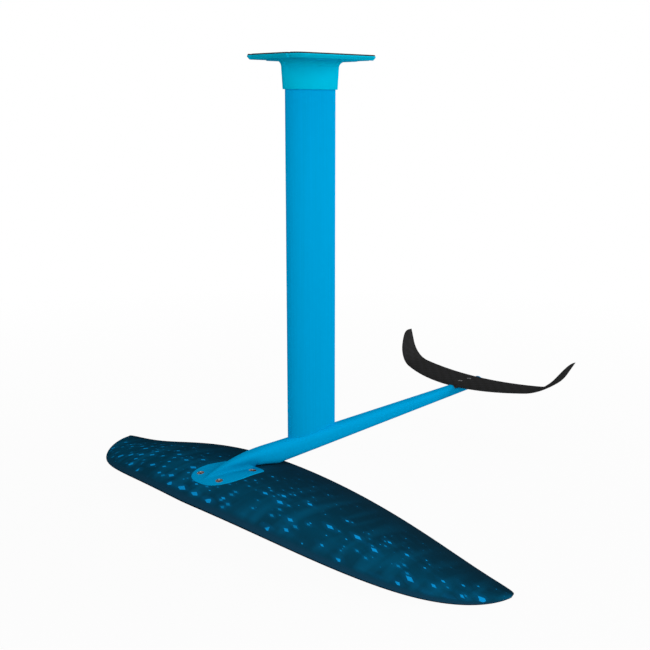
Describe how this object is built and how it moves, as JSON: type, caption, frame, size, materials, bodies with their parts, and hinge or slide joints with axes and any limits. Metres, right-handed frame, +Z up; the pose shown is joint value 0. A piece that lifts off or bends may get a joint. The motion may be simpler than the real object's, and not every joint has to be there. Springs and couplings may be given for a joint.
{
  "type": "hydrofoil",
  "caption": "Hydrofoil for a surf or wing board: slotted head plate on a hollow foil-shaped mast, slim fuselage, wide drooped front wing and a small stabiliser with raised tips.",
  "frame": {"origin": "centre of the board bolt pattern, on the top face of the pad that meets the board", "axes": "+X forward along the fuselage, +Y to port along the wing's span, +Z up the mast towards the board"},
  "size_m": [0.8065, 0.9616, 0.7614],
  "materials": {
    "pad_rubber": "matt sheet rubber",
    "cyan_aluminium": "satin anodised cast aluminium",
    "blue_aluminium": "satin anodised aluminium",
    "bare_aluminium": "machined",
    "plug_foam": "closed-cell foam",
    "steel_screws": "stainless steel, bright",
    "grey_screws": "stainless steel, blasted dark grey",
    "bronze_screws": "dark coated steel",
    "navy_laminate": "matt lacquered carbon laminate with a blue fleck print",
    "black_laminate": "satin carbon laminate",
    "core_foam": "rigid foam",
    "hard_block": "dense glass laminate",
    "saddle_plastic": "moulded plastic"
  },
  "bodies": {
    "root": {"head_pad": "pad_rubber", "head_plate": "cyan_aluminium", "head_screws": "steel_screws", "mast_extrusion": "blue_aluminium", "mast_head_block": "bare_aluminium", "mast_foot_block": "bare_aluminium", "mast_cell_plugs": "plug_foam", "mast_screws": "steel_screws", "fuselage": "blue_aluminium", "front_wing_upper_skin": "navy_laminate", "front_wing_lower_skin": "navy_laminate", "front_wing_core": "core_foam", "front_wing_block": "hard_block", "front_wing_bushes": "bare_aluminium", "front_wing_screws": "bronze_screws", "stab_upper_skin": "black_laminate", "stab_lower_skin": "black_laminate", "stab_core": "core_foam", "stab_block": "hard_block", "stab_saddle": "saddle_plastic", "stab_screws": "grey_screws", "stab_bushes": "bare_aluminium"}
  },
  "joints": []
}
